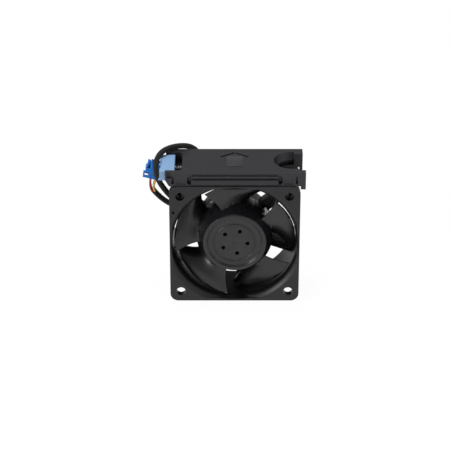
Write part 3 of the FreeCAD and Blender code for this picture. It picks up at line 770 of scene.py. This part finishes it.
@dataclass(frozen=True)
class Dress:
    """One CAD node kept in its shape, with rounded edges and a real finish."""

    node: str
    finish: Finish
    body: str
    slot: str
    radius_mm: float = 0.0
    curved: bool = False

    def build(self) -> Piece:
        """Copies, rounds and dresses the node.

        Returns:
            The finished piece.
        """
        piece = copy_of(self.node, f"{self.node}_finished", self.curved)
        if self.radius_mm:
            bevel(piece, self.radius_mm)
        smooth(piece)
        if self.radius_mm:
            weigh_normals(piece)
        return settle(piece, self.finish, self.body, [self.node])


@dataclass
class Motor:
    """The motor's parts, its base, and the wires and gland that lead out of it."""

    parts: tuple[Dress, ...] = (
        Dress("rotor_yoke", YOKE_STEEL, "rotor", "yoke_steel", 0.1),
        Dress("ring_magnet", FERRITE, "rotor", "magnet", 0.1),
        Dress("shaft", SPRING_STEEL, "rotor", "steel", 0.05),
        Dress("shaft_clip", SPRING_STEEL, "rotor", "steel"),
        Dress("preload_ring", SPRING_STEEL, "rotor", "steel"),
        Dress("bearing_inner_races", SPRING_STEEL, "rotor", "steel", 0.08),
        Dress("bearing_outer_races", SPRING_STEEL, "housing", "steel", 0.08),
        Dress("bearing_balls", SPRING_STEEL, "ball_train", "steel"),
        Dress("ball_cages", BRASS, "ball_train", "brass"),
        Dress("bearing_tube", BRASS, "housing", "brass", 0.08),
        Dress("stator_core", CORE_STEEL, "housing", "core_steel", 0.05),
        Dress("front_liner", NYLON, "housing", "liner_plastic", 0.08),
        Dress("rear_liner", NYLON, "housing", "liner_plastic", 0.08),
        Dress("coils", COPPER, "housing", "copper", 0.25),
        Dress("circuit_board", SOLDER_RESIST, "housing", "board_green", 0.04),
        Dress("board_parts", EPOXY, "housing", "board_part", 0.06),
        Dress("hall_sensor", EPOXY, "housing", "board_part", 0.06),
        Dress("motor_base", FRAME_PBT, "housing", "frame_plastic", 0.25),
        Dress("lead_gland", RUBBER, "housing", "rubber", 0.3),
        Dress("motor_wires", BLACK_PVC, "housing", "wire_black"),
    )

    def build(self) -> None:
        """Dresses each of the motor's parts."""
        for part in self.parts:
            part.build()


@dataclass(frozen=True)
class FaceStep:
    """A ring of the hub's face, how far it moves back, and what its radius is multiplied by."""

    inner_mm: float
    outer_mm: float
    back_mm: float
    spread: float = 1.0


@dataclass
class Impeller:
    """The hub and its blades."""

    shaft_height: float = SHAFT_HEIGHT_MM * MM
    face: float = -9.6 * MM
    cup_radius: float = 17.5 * MM
    nose_radius: float = 15.0 * MM
    nose_end: float = -9.95 * MM
    cone_end: float = -5.7 * MM
    root_depth: float = 0.4 * MM
    root_reach: float = 0.1 * MM
    edge_mm: float = 0.12
    rim: FaceStep = FaceStep(12.9, 14.7, -0.4)
    disc: FaceStep = FaceStep(0.0, 12.82, 0.3)
    disc_middle: FaceStep = FaceStep(0.0, 9.3, 0.25)
    disc_edge: FaceStep = FaceStep(12.7, 12.86, 0.0, 0.957)

    def seat_roots(self, blades: Piece) -> None:
        """Sets the blades' roots a little way into the hub, as one moulding has them.

        Args:
            blades: The five blades.
        """
        for corner in blades.data.vertices:
            share = (corner.co.y - self.nose_end) / (self.cone_end - self.nose_end)
            share = max(0.0, min(1.0, share))
            skin = self.nose_radius + (self.cup_radius - self.nose_radius) * share
            height = corner.co.z - self.shaft_height
            out = math.hypot(corner.co.x, height)
            if out < skin + self.root_reach:
                inward = (out - self.root_depth) / out
                corner.co.x *= inward
                corner.co.z = self.shaft_height + height * inward

    def step_face(self, hub: Piece, step: FaceStep) -> None:
        """Moves one ring of the hub's face along the shaft, and widens or narrows it.

        Args:
            hub: The hub.
            step: The ring and how it moves.
        """
        activate(hub)
        bpy.ops.object.mode_set(mode="EDIT")
        # An edge or face that stayed selected would take the rest of the hub along.
        bpy.ops.mesh.select_mode(type="VERT")
        bpy.ops.mesh.select_all(action="DESELECT")
        bpy.ops.object.mode_set(mode="OBJECT")
        for corner in hub.data.vertices:
            out = math.hypot(corner.co.x, corner.co.z - self.shaft_height) / MM
            corner.select = step.inner_mm <= out <= step.outer_mm and corner.co.y < self.face
        bpy.ops.object.mode_set(mode="EDIT")
        middle = (0.0, 0.0, self.shaft_height)
        bpy.ops.transform.translate(value=(0.0, step.back_mm * MM, 0.0))
        bpy.ops.transform.resize(value=(step.spread, 1.0, step.spread), center_override=middle)
        bpy.ops.object.mode_set(mode="OBJECT")

    def build(self) -> None:
        """Dresses the impeller, with the steps of the hub's face as deep as the mould leaves them."""
        hub = copy_of("impeller_hub", "impeller_hub_finished")
        for step in (self.rim, self.disc, self.disc_middle, self.disc_edge):
            self.step_face(hub, step)
        bevel(hub, self.edge_mm)
        smooth(hub)
        settle(hub, IMPELLER_PBT, "rotor", ["impeller_hub"])
        blades = Dress("impeller_blades", IMPELLER_PBT, "rotor", "impeller_plastic", curved=True)
        self.seat_roots(blades.build())


@dataclass
class FanFrame:
    """The square frame and the vanes that hold the motor in it."""

    edge_mm: float = 0.25

    def build(self) -> None:
        """Dresses the frame and its vanes."""
        # The frame's duct is painted darker by its finish, as the shade inside it.
        Dress("fan_frame", MOUTH_PBT, "housing", "frame_plastic", self.edge_mm).build()
        Dress("stator_vanes", FRAME_PBT, "housing", "frame_plastic", curved=True).build()


@dataclass
class Carrier:
    """The carrier, its latch and the latch's spring."""

    travel: float = 2.4 * MM
    bar_half_mm: float = 19.7
    bar_spare_mm: float = 0.2
    end_slot_mm: float = 1.5
    top_mm: float = 66.8
    edge_mm: float = 0.16
    latch_edge_mm: float = 0.22
    panel_size_mm: Point = (7.3, 10.2, 0.36)
    panel_place_mm: float = -0.05
    panel_raise_mm: float = 0.06
    panel_edge_mm: float = 0.12

    def cuts_along_bar(self) -> tuple[Recess, ...]:
        """Lists the cuts along the grip bar: its top, its groove, and the seams over and under it.

        Returns:
            The cuts, in the order in which they are made.
        """
        long = 2 * self.bar_half_mm
        over = long + self.bar_spare_mm
        top = Recess((0.0, -12.5, 65.9), (over, 1.2, 1.4))
        groove = Recess((0.0, -12.3, 63.8), (over, 1.5, 0.9))
        seam_over = Recess((0.0, -11.9, 65.35), (long, 1.2, 0.34))
        seam_under = Recess((0.0, -11.9, 60.55), (long, 1.2, 0.3))
        return (top, groove, seam_over, seam_under)

    def body(self) -> None:
        """Dresses the carrier, with its bar's grooves, end slots and arrow cut to full depth."""
        carrier = copy_of("carrier", "carrier_finished")
        for recess in self.cuts_along_bar():
            recess.cut(carrier)
        slot_middle = self.bar_half_mm + self.end_slot_mm / 2
        end_slot = Recess((slot_middle, -11.9, 63.0), (self.end_slot_mm, 1.8, 4.4))
        arrow_leg = Recess((3.17, 6.62, self.top_mm), (7.7, 1.15, 1.7), -33.8)
        for side in (-1, 1):
            end_slot.on(side).cut(carrier)
            arrow_leg.on(side).cut(carrier)
        bevel(carrier, self.edge_mm)
        smooth(carrier)
        weigh_normals(carrier)
        settle(carrier, CARRIER_ABS, "housing", ["carrier"])

    def arrow_panel(self) -> None:
        """Adds the smooth raised panel that is the arrow's tail, painted lighter as sheen."""
        deselect()
        place = (0.0, self.panel_place_mm * MM, self.top_mm * MM + self.panel_raise_mm * MM)
        bpy.ops.mesh.primitive_cube_add(size=1.0, location=place)
        panel = bpy.context.object
        panel.name = "arrow_panel"
        panel.scale = [v * MM for v in self.panel_size_mm]
        bpy.ops.object.transform_apply(location=True, rotation=True, scale=True)
        bevel(panel, self.panel_edge_mm)
        smooth(panel)
        # The panel's finish is painted lighter than the carrier, as sheen.
        settle(panel, PANEL_ABS, "housing", [])

    def latch(self) -> None:
        """Dresses the latch and its spring, and gives the spring a mesh of its own; the real spring
        shortens as the latch slides in.
        """
        Dress("release_latch", LATCH_ABS, "latch", "latch_plastic", self.latch_edge_mm).build()
        spring = Dress("latch_spring", SPRING_STEEL, "housing", "steel").build()
        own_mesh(spring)

    def build(self) -> None:
        """Dresses the carrier, its arrow and its latch."""
        self.body()
        self.arrow_panel()
        self.latch()


def main() -> None:
    """Builds the stage and every sub-assembly."""
    logging.basicConfig(level=logging.INFO, format="%(message)s")
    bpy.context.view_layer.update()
    builders: list[Callable[[], None]] = [
        Studio().build,
        Lead().build,
        FanFrame().build,
        Impeller().build,
        Carrier().build,
        Motor().build,
    ]
    for build in builders:
        build()


if __name__ == "__main__":
    main()
